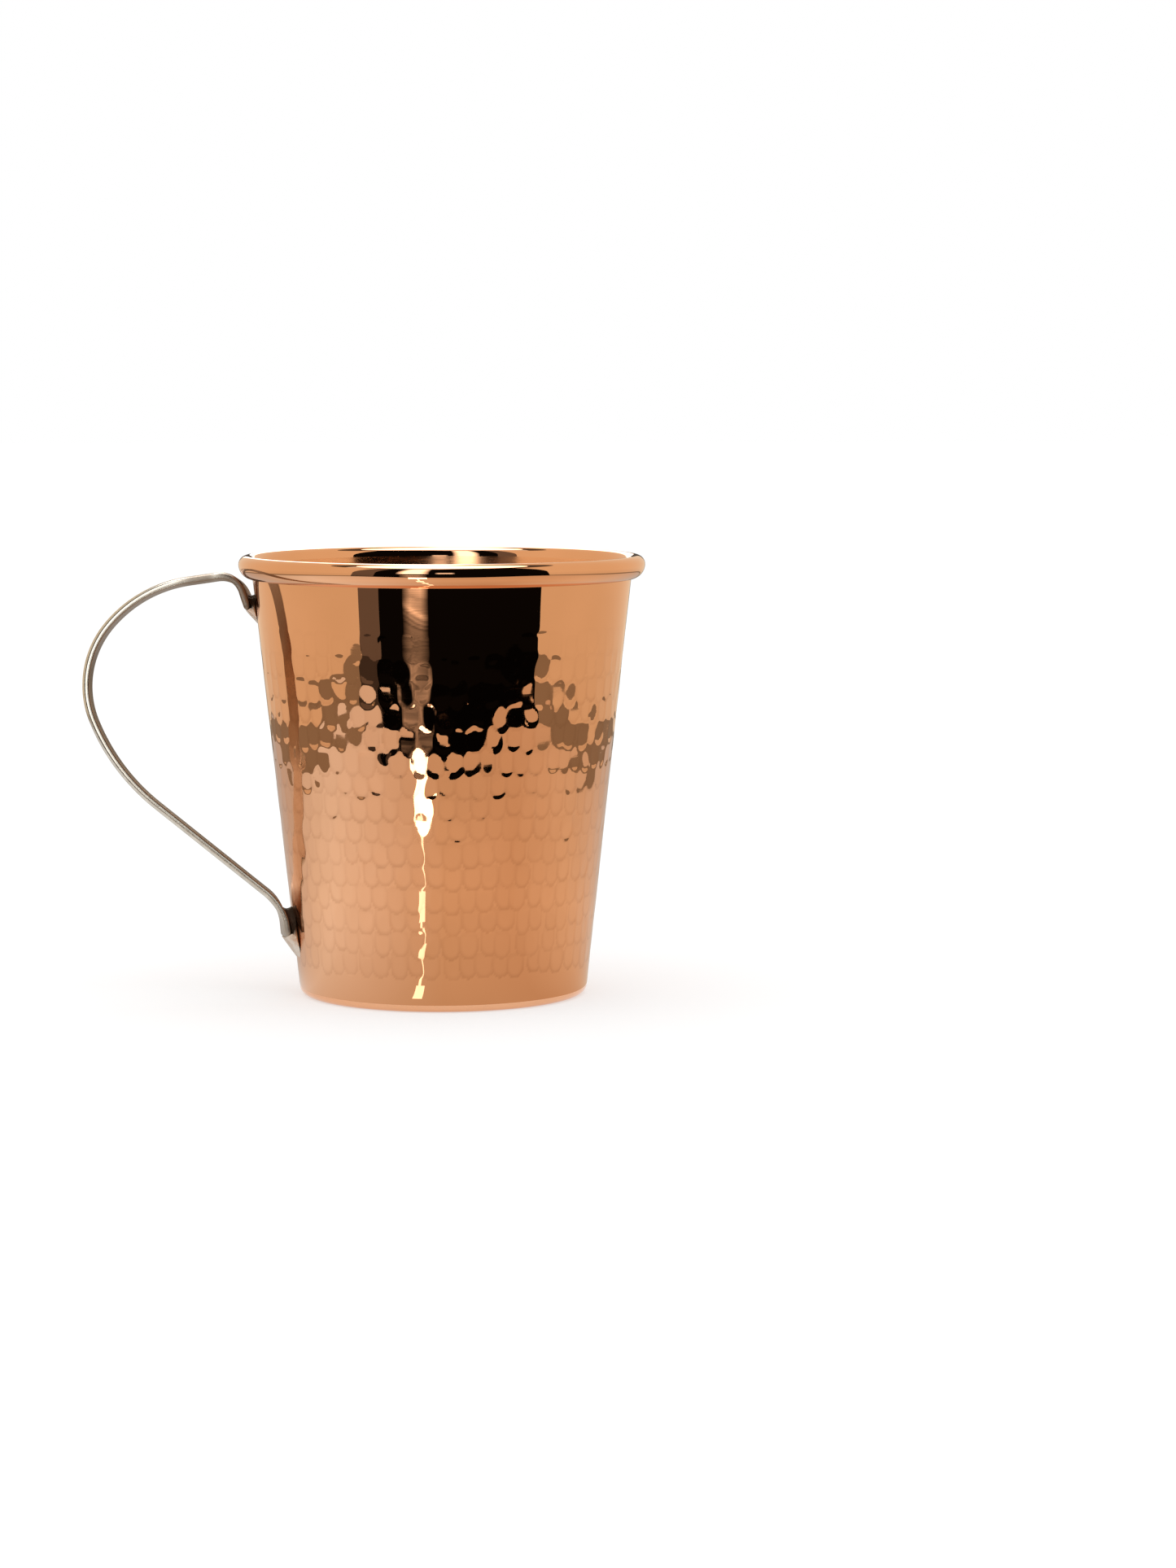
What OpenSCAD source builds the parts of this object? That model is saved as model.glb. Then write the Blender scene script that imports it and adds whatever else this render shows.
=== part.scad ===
// Hammered copper mug: a tapered cup with a rolled rim, a let-in base disc and a flat strap handle.
// Units are millimetres and +Z is up. The origin is on the cup's axis, in the plane of the foot.
// The handle stands out along -X, and the whole mug is symmetric about the plane y = 0.
// The handle is drawn in its own flat frame: first coordinate outwards from the axis, second upwards.

/* [Cup] */
// Height from the foot plane to the top of the rim
cup_h = 99.8; // [95:0.1:105]
// Outer radius at which the wall's cone would meet the foot plane
foot_r = 32.6; // [31:0.1:34]
// Outer radius of the rolled rim
mouth_r = 46; // [44:0.1:48]
// Thickness of the copper sheet
sheet = 1.2; // [0.9:0.1:1.4]

/* [Rolled rim] */
// Radius of the bead's upper half, which the rim is drunk from
bead_r = 2; // [1.8:0.1:2.2]
// Radius of the bead's lower half, which tucks in under it
tuck_r = 3.3; // [3.2:0.1:3.5]
// Gap left between the curled edge and the wall
lip_gap = 0.15; // [0.1:0.05:0.3]

/* [Foot and base] */
// Outer bend radius where the wall turns in under the base
foot_bend = 2; // [1.6:0.1:2.6]
// Inner radius of the turned-in foot ring
foot_ring_r = 25; // [22:0.5:26]
// Radius of the base disc
disc_r = 27.6; // [27:0.1:28.5]
// Thickness of the base disc
disc_t = 1.2; // [0.9:0.1:1.5]
// Radius that rounds the base disc's upper edge
disc_edge = 0.4; // [0.2:0.1:0.6]
// Height above the foot plane to which the base braze climbs the wall
cove_z = 3.2; // [2.8:0.1:4]

/* [Strap section] */
// Width of the strap, across the handle
strap_w = 12; // [10:0.5:14]
// Thickness of the strap
strap_t = 1.65; // [1.4:0.05:1.8]

/* [Strap path, from the lower end up] */
// Distance of the lower end from the cup's axis
lower_end_r = 35.7; // [35.4:0.1:36.5]
// Height of the lower end above the foot plane
lower_end_z = 13.2; // [12:0.1:15]
// Slope of the lower tab above level, in degrees
lower_tab_a = 82; // [78:1:84]
// Length of the straight lower tab
lower_tab_l = 2.8; // [2:0.1:4]
// Centreline radius of the bend above the lower tab
lower_bend_r = 11.5; // [9:0.5:13]
// Turn of that bend away from the cup, in degrees
lower_bend_a = 43; // [42:0.1:44]
// Length of the straight slanting run
run_l = 31.6; // [30:0.1:33]
// Centreline radius of the long sweep above the run
sweep_r = 47; // [45:0.5:49]
// Turn of that sweep, in degrees
sweep_a = 29.2; // [28:0.1:30]
// Centreline radius of the bow's outermost part
bow_r = 21.4; // [20.5:0.1:22]
// Turn of the bow's outermost part, in degrees
bow_a = 61.8; // [61:0.1:63]
// Centreline radius of the shoulder
shoulder_r = 28.8; // [28:0.1:29.5]
// Turn of the shoulder, in degrees
shoulder_a = 41.8; // [41:0.1:43]
// Length of the near-level top run
top_run_l = 6.7; // [6.2:0.1:7]
// Centreline radius of the tight bend beside the rim
top_bend_r = 5.6; // [5:0.1:6]
// Turn of that bend down towards the wall, in degrees
top_bend_a = 77.2; // [76:0.1:79]
// Length of the straight upper tab
upper_tab_l = 4.2; // [3.6:0.1:4.6]
// Sideways cant of the hand-set handle, in degrees: its top sits further back than its foot
handle_cant = 5.5; // [0:0.5:7]

/* [Braze] */
// Depth of the upper wedge below the tab's end
upper_wedge_h = 2.9; // [2:0.1:4]
// Depth of the lower wedge below the strap's end
lower_wedge_h = 4.6; // [3:0.1:6]
// How far braze creeps up between the upper tab and the wall
upper_creep_h = 3.2; // [1:0.2:4]
// How far braze creeps up between the lower tab and the wall
lower_creep_h = 2.6; // [1:0.2:2.8]
// Width of the wedges, across the handle
wedge_w = 12.6; // [12:0.1:14]

/* [Hidden] */
$fn = 96;

// Steps in each rounded stretch of a turned outline
round_steps = 12;
// Largest turn between two points of the strap's outline, in degrees
turn_step = 4;
// How far wedge blanks reach into the wall before the wall is cut away from them
bite = 2.4;
// Sides of the cone that cuts them, enough to hug the wall
cutter_sides = 360;

// Centres of the bead's upper and lower rounds, which meet at its widest point
bead_top = [mouth_r - bead_r, cup_h - bead_r];
bead_low = [mouth_r - tuck_r, bead_top.y];
// Radius of the upper hollow inside the bead
hollow_r = bead_r - sheet;

// The wall's outer face runs from the foot circle to touch the bead's hollow
to_bead = bead_top - [foot_r, 0];
lean = acos(hollow_r / norm(to_bead)) - atan2(to_bead.y, to_bead.x);
// Centre of the bend at the foot, touching both the foot plane and the wall's outer face
foot_centre = [foot_r - foot_bend * (1 - sin(lean)) / cos(lean), foot_bend];

disc_top = sheet + disc_t;

// Radius of the wall's outer and inner faces at height z
function wall_r(z) = foot_r + z * tan(lean);
function lining_r(z) = wall_r(z) - sheet / cos(lean);

// Unit vector at angle a
function heading(a) = [cos(a), sin(a)];

// Angle at which a lower round of radius r about bead_low comes within lip_gap of the wall's outer face
lip_line = ([foot_r, 0] - bead_low) * heading(-lean) + lip_gap;
function lip_angle(r) = -lean - acos(lip_line / r);

// Points along an arc, ends included
function arc(centre, r, from, to, steps = round_steps) =
    [for (i = [0:steps]) centre + r * heading(from + (to - from) * i / steps)];

// Points along a curve from p to q that bends towards the control point c, ends included
function swoop(p, c, q, steps = round_steps) =
    [for (i = [0:steps]) let (t = i / steps) (1 - t) ^ 2 * p + 2 * t * (1 - t) * c + t ^ 2 * q];

// A path is a list of legs: [length] runs straight on, [radius, turn] bends, left turns positive.
// Each leg gives [point, direction] pairs, and walk() joins the legs end to end.
function straight(p, a, leg) = [[p + leg[0] * heading(a), a]];
function bend(p, a, leg) =
    let (side = sign(leg[1]), centre = p + side * leg[0] * heading(a + 90))
    let (steps = ceil(abs(leg[1]) / turn_step))
    [for (i = [1:steps]) let (b = a + leg[1] * i / steps) [centre - side * leg[0] * heading(b + 90), b]];
function walk(p, a, legs, i = 0) =
    i == len(legs) ? [] :
    let (leg = len(legs[i]) == 1 ? straight(p, a, legs[i]) : bend(p, a, legs[i]))
    let (last = leg[len(leg) - 1])
    concat(leg, walk(last[0], last[1], legs, i + 1));

lower_end = [lower_end_r, lower_end_z];
strap_legs = [
    [lower_tab_l], [lower_bend_r, -lower_bend_a], [run_l], [sweep_r, sweep_a], [bow_r, bow_a],
    [shoulder_r, shoulder_a], [top_run_l], [top_bend_r, top_bend_a], [upper_tab_l]
];
strap_line = concat([[lower_end, lower_tab_a]], walk(lower_end, lower_tab_a, strap_legs));
upper_end = strap_line[len(strap_line) - 1];
// Height of the level line that the handle cants about, half way between its ends
cant_z = (lower_end.y + upper_end[0].y) / 2;

// The strap's outline, shifted sideways from its centreline: positive is the finger side
function strap_side(shift) = [for (s = strap_line) s[0] + shift * heading(s[1] + 90)];
function strap_corner(s, shift, along) = s[0] + shift * heading(s[1] + 90) + along * heading(s[1]);
function backwards(list) = [for (i = [len(list) - 1:-1:0]) list[i]];

// Stands a shape drawn in the handle's flat frame upright on the -X side, and cants it
module handle_plate(width) {
    translate([0, 0, cant_z])
        rotate([-handle_cant, 0, 0])
            translate([0, 0, -cant_z])
                rotate([90, 0, 180])
                    linear_extrude(width, center = true) children();
}

// The space inside the wall's outer face, to cut braze to the curve of the wall
module cup_core() {
    cylinder(h = cup_h, r1 = wall_r(0), r2 = wall_r(cup_h), $fn = cutter_sides);
}

// One sheet: foot ring, bend, tapered wall and hollow rolled bead
module body_wall() {
    color("peru")
        rotate_extrude()
            polygon(concat(
                [[foot_ring_r, 0]],
                arc(foot_centre, foot_bend, -90, -lean),
                arc(bead_top, hollow_r, 180 - lean, 0),
                arc(bead_low, tuck_r - sheet, 0, lip_angle(tuck_r - sheet)),
                arc(bead_low, tuck_r, lip_angle(tuck_r), 0),
                arc(bead_top, bead_r, 0, 180 - lean),
                arc(foot_centre, foot_bend - sheet, -lean, -90),
                [[foot_ring_r, sheet]]
            ));
}

// Flat disc that lies on the foot ring and closes the cup
module base_disc() {
    color("lightsalmon")
        rotate_extrude()
            polygon(concat(
                [[0, sheet], [disc_r, sheet]],
                arc([disc_r - disc_edge, disc_top - disc_edge], disc_edge, 0, 90, 4),
                [[0, disc_top]]
            ));
}

// Ring of braze with a hollowed top, between the disc's edge and the wall
module base_braze() {
    wall_edge = [lining_r(cove_z), cove_z];
    disc_edge_top = [disc_r, disc_top - disc_edge];
    cove_low = [(wall_edge.x + disc_r) / 2, sheet + 0.1];
    color("sienna")
        rotate_extrude()
            polygon(concat(
                [[disc_r, sheet]],
                arc(foot_centre, foot_bend - sheet, -90, -lean),
                swoop(wall_edge, cove_low, disc_edge_top)
            ));
}

// Flat strip bent into an open bow with a tab at each end
module handle_strap() {
    color("silver")
        handle_plate(strap_w)
            polygon(concat(strap_side(-strap_t / 2), backwards(strap_side(strap_t / 2))));
}

// Wedge under the upper tab: fills the corner below its end and a little of the gap behind it
module upper_braze() {
    tip_z = upper_end[0].y - upper_wedge_h;
    finger_corner = strap_corner(upper_end, strap_t / 2, 0);
    wall_corner = strap_corner(upper_end, -strap_t / 2, 0);
    behind = strap_corner(upper_end, -strap_t / 2, -upper_creep_h);
    tip = [wall_r(tip_z), tip_z];
    color("darkkhaki")
        difference() {
            handle_plate(wedge_w)
                polygon([
                    finger_corner, wall_corner, behind,
                    [behind.x - bite, behind.y], [tip.x - bite, tip.y], tip
                ]);
            cup_core();
        }
}

// Wedge under the lower tab, the same way
module lower_braze() {
    tip_z = lower_end.y - lower_wedge_h;
    outer_corner = strap_corner(strap_line[0], -strap_t / 2, 0);
    wall_corner = strap_corner(strap_line[0], strap_t / 2, 0);
    behind = strap_corner(strap_line[0], strap_t / 2, lower_creep_h);
    tip = [wall_r(tip_z), tip_z];
    color("darkkhaki")
        difference() {
            handle_plate(wedge_w)
                polygon([
                    outer_corner, wall_corner, behind,
                    [behind.x - bite, behind.y], [tip.x - bite, tip.y], tip
                ]);
            cup_core();
        }
}

body_wall();
base_disc();
base_braze();
handle_strap();
upper_braze();
lower_braze();
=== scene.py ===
"""Hammered copper mug: the looks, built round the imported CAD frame.

Lengths are in millimetres until mesh_piece() turns them into metres. The mug stands on z = 0 with
its axis on the Z axis, and the handle stands out along -X, as in the CAD model.
"""
import math

import bpy
import numpy as np
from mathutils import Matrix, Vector, noise


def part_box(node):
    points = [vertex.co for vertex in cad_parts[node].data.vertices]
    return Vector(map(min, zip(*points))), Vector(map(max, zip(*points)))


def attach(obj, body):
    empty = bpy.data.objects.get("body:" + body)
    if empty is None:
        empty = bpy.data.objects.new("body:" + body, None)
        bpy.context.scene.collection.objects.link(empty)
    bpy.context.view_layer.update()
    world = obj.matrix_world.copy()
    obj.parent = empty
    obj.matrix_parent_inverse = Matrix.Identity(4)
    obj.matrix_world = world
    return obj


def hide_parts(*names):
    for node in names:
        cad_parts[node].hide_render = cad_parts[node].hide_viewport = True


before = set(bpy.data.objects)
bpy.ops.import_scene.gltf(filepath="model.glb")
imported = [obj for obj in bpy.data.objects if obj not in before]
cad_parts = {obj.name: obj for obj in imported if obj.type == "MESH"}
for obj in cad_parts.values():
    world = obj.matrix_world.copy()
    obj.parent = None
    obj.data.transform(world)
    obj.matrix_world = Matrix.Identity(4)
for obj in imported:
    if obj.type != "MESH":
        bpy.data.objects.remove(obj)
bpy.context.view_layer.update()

MM = 0.001  # metres in a millimetre
TAU = 2 * math.pi


# ---------------------------------------------------------------- sizes, as in the CAD model, in mm

def node_size(node, corner, axis):
    """One coordinate of a CAD node's box corner (0 low, 1 high), in mm."""
    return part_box(node)[corner][axis] / MM


CUP_H = node_size("body_wall", 1, 2)
MOUTH_R = node_size("body_wall", 1, 0)
FOOT_R = 32.6        # where the wall's cone meets the foot plane
SHEET = 1.2          # copper sheet
BEAD_R = 2.0         # upper half of the rolled bead
TUCK_R = 3.3         # lower half of the rolled bead
LIP_GAP = 0.15       # between the curled edge and the wall
FOOT_BEND = 2.0      # outer radius of the bend at the foot
FOOT_RING_R = 25.0   # inner edge of the turned-in foot
DISC_R = 27.6
DISC_T = 1.2
DISC_EDGE = 0.4      # rounding of the disc's upper edge
COVE_Z = 3.2         # how high the base braze climbs the wall

STRAP_W = 12.0
STRAP_T = 1.65
OUTER_EDGE = 0.8     # rounding of the strap's long edges on its outer side
FINGER_EDGE = 0.35   # and on the finger side
HANDLE_CANT = 5.5    # degrees that the hand-set handle leans by: its top sits further back than its foot
TAB_TWIST = 5.5      # degrees that the strap twists by at its ends, to seat on the round wall
TWIST_LENGTH = 11.0  # how far from each end the twist dies out
STRAP_START = (35.7, 13.2)
STRAP_HEADING = 82.0
# Legs of the strap's centreline from the lower end up: length, or radius and turn (left positive)
STRAP_LEGS = ((2.8,), (11.5, -43.0), (31.6,), (47.0, 29.2), (21.4, 61.8), (28.8, 41.8), (6.7,),
              (5.6, 77.2), (4.2,))

BEAD_TOP = np.array([MOUTH_R - BEAD_R, CUP_H - BEAD_R])
BEAD_LOW = np.array([MOUTH_R - TUCK_R, CUP_H - BEAD_R])
HOLLOW_R = BEAD_R - SHEET
to_bead = BEAD_TOP - np.array([FOOT_R, 0.0])
LEAN = math.acos(HOLLOW_R / np.hypot(*to_bead)) - math.atan2(to_bead[1], to_bead[0])
FOOT_CENTRE = np.array([FOOT_R - FOOT_BEND * (1 - math.sin(LEAN)) / math.cos(LEAN), FOOT_BEND])
DISC_TOP = SHEET + DISC_T


def wall_r(z):
    """Radius of the wall's outer face."""
    return FOOT_R + z * math.tan(LEAN)


def lining_r(z):
    """Radius of the wall's inner face."""
    return wall_r(z) - SHEET / math.cos(LEAN)


def smoothstep(x):
    """0 up to x = 0 and 1 from x = 1, with a smooth rise between."""
    x = np.clip(x, 0.0, 1.0)
    return x * x * (3 - 2 * x)


# ---------------------------------------------------------------- mesh helpers

def mesh_piece(name, points, quads, materials, face_material=None, sharp=40):
    """A mesh object from points in mm and faces as index tuples or an (n, 4) array."""
    mesh = bpy.data.meshes.new(name)
    mesh.from_pydata((np.asarray(points) * MM).tolist(), [], [list(map(int, q)) for q in quads])
    for material in materials:
        mesh.materials.append(material)
    if face_material is not None:
        mesh.polygons.foreach_set("material_index", np.asarray(face_material, np.int32))
    mesh.polygons.foreach_set("use_smooth", np.ones(len(mesh.polygons), bool))
    mesh.set_sharp_from_angle(angle=math.radians(sharp))
    mesh.validate()
    piece = bpy.data.objects.new(name, mesh)
    bpy.context.scene.collection.objects.link(piece)
    return piece


def grid_quads(rows, cols, wrap_rows=False, wrap_cols=False):
    """Faces of a rows x cols grid of points, closed round on itself where asked."""
    r = np.arange(rows if wrap_rows else rows - 1)
    c = np.arange(cols if wrap_cols else cols - 1)
    r, c = np.meshgrid(r, c, indexing="ij")
    r2, c2 = (r + 1) % rows, (c + 1) % cols
    return np.stack([r * cols + c, r * cols + c2, r2 * cols + c2, r2 * cols + c], -1).reshape(-1, 4)


def turned(r, z, theta):
    """Points at radii r and heights z, at each angle theta round the cup's axis."""
    return np.stack([r * np.cos(theta), r * np.sin(theta), z], -1).reshape(-1, 3)


def arc(centre, radius, start, end, steps):
    """Points and outward normals along an arc, angles in degrees, ends included."""
    a = np.radians(np.linspace(start, end, steps + 1))
    n = np.stack([np.cos(a), np.sin(a)], 1)
    return np.asarray(centre) + radius * n, n


def ride(piece, slot, *nodes):
    """The piece stands for its CAD nodes, which are hidden, and moves with the mug; slot is not used."""
    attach(piece, "root")
    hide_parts(*nodes)
    return piece


def add_layer(piece, name, values):
    """Store one number a point, for a material to read."""
    layer = piece.data.attributes.new(name, "FLOAT", "POINT")
    layer.data.foreach_set("value", np.asarray(values, np.float32).ravel())


# ---------------------------------------------------------------- hammer marks

MARK_TILT = 0.013    # spread of the slopes at which the hammer's face lands
UPPER_CORNER = 3.8   # power of a mark's outline above its middle: squarish
LOWER_CORNER = 2.3   # and below it: rounder
MARK_REACH = 1.15    # how far out a mark is worked out, as a share of its own half size
MARK_BLEND = 1.08    # where its depth has blended into its neighbours
MARK_SHADE = 1.03    # where its painted edge shading stops
MARK_BORDER = 0.38   # width of that edge
UPPER_LOSS = 0.38    # how much weaker the painted edge shading is half way up than at the bottom
TOP_LOSS = 0.85      # how much weaker the highest row is than the rows below the fade
WORN_Z = 42.0        # polishing has worn the marks below this height
WORN_RISE = 20.0     # and no longer does this much higher


def hammer_marks(theta, z, radius_at, rng, row_limits, pitch, depth, fade_z,
                 overlap=(0.53, 0.60), flat=0.030, dish=0.006, slant=0.003, lip=0.26, low_depth=0.45):
    """How far the hammer has driven a round wall in, in mm, and how strongly shading is painted where marks
    end, with a random tone for each mark, on a z x theta grid.

    Rows of nearly flat marks are struck from the lowest row up, so each mark keeps its own rounded
    lower edge, where it is deepest, and cuts the top off the marks below. Marks fade out above fade_z.
    row_limits are the heights of the lowest and highest rows. pitch and overlap are pairs: round the
    wall, then up it. flat and dish are the marks' curvatures in the same order, slant is their slope,
    lip is the width of the blend at their edges, and low_depth is the share of the depth where worn.
    """
    first_z, last_z = row_limits
    pitch_u, pitch_z = pitch
    depth_map = np.zeros((len(z), len(theta)))
    edge_shading_map = np.zeros((len(z), len(theta)))
    for row in range(int((last_z - first_z) / pitch_z) + 1):
        z_row = first_z + row * pitch_z
        radius = radius_at(z_row)
        count = int(round(TAU * radius / pitch_u))
        phase = rng.uniform(0, TAU)
        strength = 1 - smoothstep((z_row - fade_z) / (last_z - fade_z)) * TOP_LOSS
        lean_row = rng.normal(0, 0.3)
        unworn = low_depth + (1 - low_depth) * float(smoothstep((z_row - WORN_Z) / WORN_RISE))
        for i in range(count):
            t0 = phase + TAU * (i + rng.normal(0, 0.09)) / count
            z0 = z_row + rng.normal(0, 0.08) * pitch_z + lean_row * 0.3 * math.sin(t0 * 2 + row)
            half_u = overlap[0] * TAU * radius / count * (1 + rng.normal(0, 0.05))
            half_z = overlap[1] * pitch_z * (1 + rng.normal(0, 0.05))
            deepest = depth * unworn * (1 + rng.normal(0, 0.09))
            tilt_u, tilt_z = rng.normal(0, MARK_TILT, 2)
            bend_u = flat * (1 + rng.normal(0, 0.16))
            bend_z = dish * (1 + rng.normal(0, 0.25))
            near_z = np.nonzero(np.abs(z - z0) < half_z * MARK_REACH)[0]
            dt = (theta - t0 + math.pi) % TAU - math.pi
            near_t = np.nonzero(np.abs(dt) * radius < half_u * MARK_REACH)[0]
            if len(near_z) == 0 or len(near_t) == 0:
                continue
            du = dt[near_t][None, :] * radius
            dz = (z[near_z] - z0)[:, None]
            power = np.where(dz > 0, UPPER_CORNER, LOWER_CORNER)
            rho = (np.abs(du / half_u) ** power + np.abs(dz / half_z) ** power) ** (1 / power)
            mask = smoothstep((MARK_BLEND - rho) / lip) * strength
            mark = deepest + tilt_u * du + (tilt_z - slant) * dz
            mark = mark - bend_u * du ** 2 / 2 - bend_z * dz ** 2 / 2
            window = np.ix_(near_z, near_t)
            depth_map[window] += (np.maximum(mark, 0.0) - depth_map[window]) * mask
            # Painted shading along each mark's edge, strongest at its lower edge, as upper ones are soon
            # struck over, plus a random tone for each mark
            border = smoothstep((rho - 1 + MARK_BORDER) / MARK_BORDER)
            border = border * np.clip(1 - UPPER_LOSS * (1 + dz / half_z), 0, 1)
            shade = (0.16 * rng.uniform() + border * rng.uniform(0.55, 1.0)) * strength
            edge_shading_map[window] = np.where(rho < MARK_SHADE, shade, edge_shading_map[window])
    return depth_map, edge_shading_map


GIRTH_WAVES = (2, 12)        # soft waves round the wall: at least the first, fewer than the second
WAVE_LENGTHS = (14.0, 40.0)  # their least and greatest length up it


def soft_waves(theta, z, rng, waves, height):
    """Gentle unevenness left by forming: a sum of smooth waves, from 0 to about twice height, in mm."""
    t, zz = np.meshgrid(theta, z)
    total = np.zeros_like(t)
    for _ in range(waves):
        k = rng.integers(*GIRTH_WAVES)
        start = rng.uniform(0, TAU)
        total += np.sin(k * t + start + zz * TAU / rng.uniform(*WAVE_LENGTHS) * rng.choice((-1, 1)))
    total /= math.sqrt(waves / 2)
    return height * (1 + np.clip(total, -1, 1))


# ---------------------------------------------------------------- materials

class Nodes:
    """Short names for building one material's node tree."""

    def __init__(self, name):
        self.material = bpy.data.materials.new(name)
        self.material.use_nodes = True
        self.tree = self.material.node_tree
        self.bsdf = self.tree.nodes["Principled BSDF"]
        self.place = self.add("ShaderNodeTexCoord").outputs["Object"]

    def add(self, kind, inputs=None, **settings):
        node = self.tree.nodes.new(kind)
        for key, value in settings.items():
            setattr(node, key, value)
        for key, value in (inputs or {}).items():
            self.put(node.inputs[key], value)
        return node

    def put(self, socket, value):
        if isinstance(value, bpy.types.NodeSocket):
            self.tree.links.new(value, socket)
        else:
            socket.default_value = value

    def scaled(self, x, y, z):
        """Object coordinates multiplied axis by axis."""
        return self.add("ShaderNodeVectorMath", {0: self.place, 1: (x, y, z)},
                        operation="MULTIPLY").outputs["Vector"]

    def noise(self, vector, scale=1.0, detail=3.0, roughness=0.5, distortion=0.0):
        return self.add("ShaderNodeTexNoise", {
            "Vector": vector, "Scale": scale, "Detail": detail, "Roughness": roughness,
            "Distortion": distortion}).outputs["Fac"]

    def remap(self, value, from_low, from_high, to_low, to_high, smooth=False):
        node = self.add("ShaderNodeMapRange", {
            "Value": value, "From Min": from_low, "From Max": from_high,
            "To Min": to_low, "To Max": to_high})
        if smooth:
            node.interpolation_type = "SMOOTHSTEP"
        return node.outputs["Result"]

    def calc(self, operation, a, b):
        return self.add("ShaderNodeMath", {0: a, 1: b}, operation=operation).outputs[0]

    def mix(self, factor, a, b):
        node = self.add("ShaderNodeMix", data_type="RGBA")
        self.put(node.inputs[0], factor)
        for socket, colour in ((node.inputs[6], a), (node.inputs[7], b)):
            self.put(socket, colour if isinstance(colour, bpy.types.NodeSocket) else (*colour, 1.0))
        return node.outputs[2]

    def bump(self, height, depth_mm):
        return self.add("ShaderNodeBump", {
            "Height": height, "Strength": 1.0, "Distance": depth_mm * MM}).outputs["Normal"]

    def attribute(self, name):
        return self.add("ShaderNodeAttribute", attribute_name=name).outputs["Fac"]

    def axis(self, name):
        """One object coordinate, in metres like the mesh."""
        return self.add("ShaderNodeSeparateXYZ", {0: self.place}).outputs[name]

    def metal(self, colour, roughness, normal, metallic=1.0):
        self.put(self.bsdf.inputs["Base Color"], colour)
        self.put(self.bsdf.inputs["Roughness"], roughness)
        self.put(self.bsdf.inputs["Normal"], normal)
        self.bsdf.inputs["Metallic"].default_value = metallic
        return self.material


PER_MM = 1 / MM  # texture frequency of one cycle in a millimetre


def outer_copper():
    """Mirror-polished copper: faint smudges, polishing lines round the cup, and rougher mark edges with
    painted shade along them.
    """
    n = Nodes("outer_copper")
    tone = n.noise(n.place, scale=0.045 * PER_MM, detail=2.0)
    clean = n.mix(n.remap(tone, 0.35, 0.65, 0.0, 1.0), (0.82, 0.44, 0.245), (0.86, 0.465, 0.265))
    edge = n.attribute("mark_edge_shading")
    # Painted shade along the marks' edges, strongest at their lower edges, and a random darker tone for
    # each mark
    colour = n.mix(n.calc("MULTIPLY", edge, 0.34), clean, (0.46, 0.21, 0.10))
    smudge = n.noise(n.place, scale=0.12 * PER_MM, detail=4.0, roughness=0.6)
    lines = n.noise(n.scaled(0.06, 0.06, 1.5), scale=PER_MM, detail=2.0, roughness=0.6)
    dull = n.calc("ADD", n.remap(smudge, 0.4, 0.75, 0.012, 0.035), n.calc("MULTIPLY", edge, 0.04))
    roughness = n.calc("ADD", dull, n.remap(lines, 0.54, 0.72, 0.0, 0.015))
    return n.metal(colour, roughness, n.bump(lines, 0.0006))


def inner_copper():
    """The lining: brighter near the rim, satin further down, with fine lines round the cup and a painted
    highlight along the mark edges.
    """
    n = Nodes("inner_copper")
    depth = n.remap(n.axis("Z"), 0.080, 0.093, 1.0, 0.0, smooth=True)
    tone = n.noise(n.place, scale=0.06 * PER_MM, detail=3.0)
    clean = n.mix(n.remap(tone, 0.35, 0.65, 0.0, 1.0), (0.84, 0.42, 0.22), (0.88, 0.46, 0.25))
    edge = n.attribute("mark_edge_shading")
    # Painted highlight along the marks' edges, strongest at their lower edges, and a random lighter tone
    # for each mark
    colour = n.mix(n.calc("MULTIPLY", edge, 0.55), clean, (0.97, 0.66, 0.42))
    lines = n.noise(n.scaled(0.08, 0.08, 2.6), scale=PER_MM, detail=3.0, roughness=0.6)
    grain = n.noise(n.place, scale=2.4 * PER_MM, detail=2.0)
    satin = n.remap(grain, 0.3, 0.7, 0.10, 0.13)
    roughness = n.calc("ADD", n.calc("MULTIPLY", satin, depth), n.remap(lines, 0.45, 0.75, 0.13, 0.21))
    return n.metal(colour, roughness, n.bump(lines, 0.0015))


def disc_copper():
    """The base disc: pinker, with a turned grain and fine scratches every way."""
    n = Nodes("disc_copper")
    spin = n.add("ShaderNodeVectorMath", {0: n.scaled(1, 1, 0)}, operation="LENGTH").outputs["Value"]
    rings = n.noise(spin, scale=1.8 * PER_MM, detail=3.0)
    scratch_a = n.noise(n.scaled(0.10, 2.6, 0.1), scale=PER_MM, detail=2.0, distortion=0.4)
    scratch_b = n.noise(n.scaled(2.2, 0.14, 0.1), scale=PER_MM, detail=2.0, distortion=0.6)
    blotch = n.noise(n.place, scale=0.12 * PER_MM, detail=4.0, roughness=0.6)
    colour = n.mix(n.remap(blotch, 0.35, 0.7, 0.0, 1.0), (0.90, 0.47, 0.31), (0.84, 0.40, 0.24))
    marks = n.calc("MAXIMUM", n.remap(scratch_a, 0.62, 0.78, 0, 1), n.remap(scratch_b, 0.64, 0.8, 0, 1))
    roughness = n.calc("ADD", n.remap(blotch, 0.3, 0.7, 0.20, 0.32), n.calc("MULTIPLY", marks, 0.12))
    height = n.calc("ADD", n.calc("MULTIPLY", rings, 0.5), marks)
    return n.metal(colour, roughness, n.bump(height, 0.002))


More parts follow.
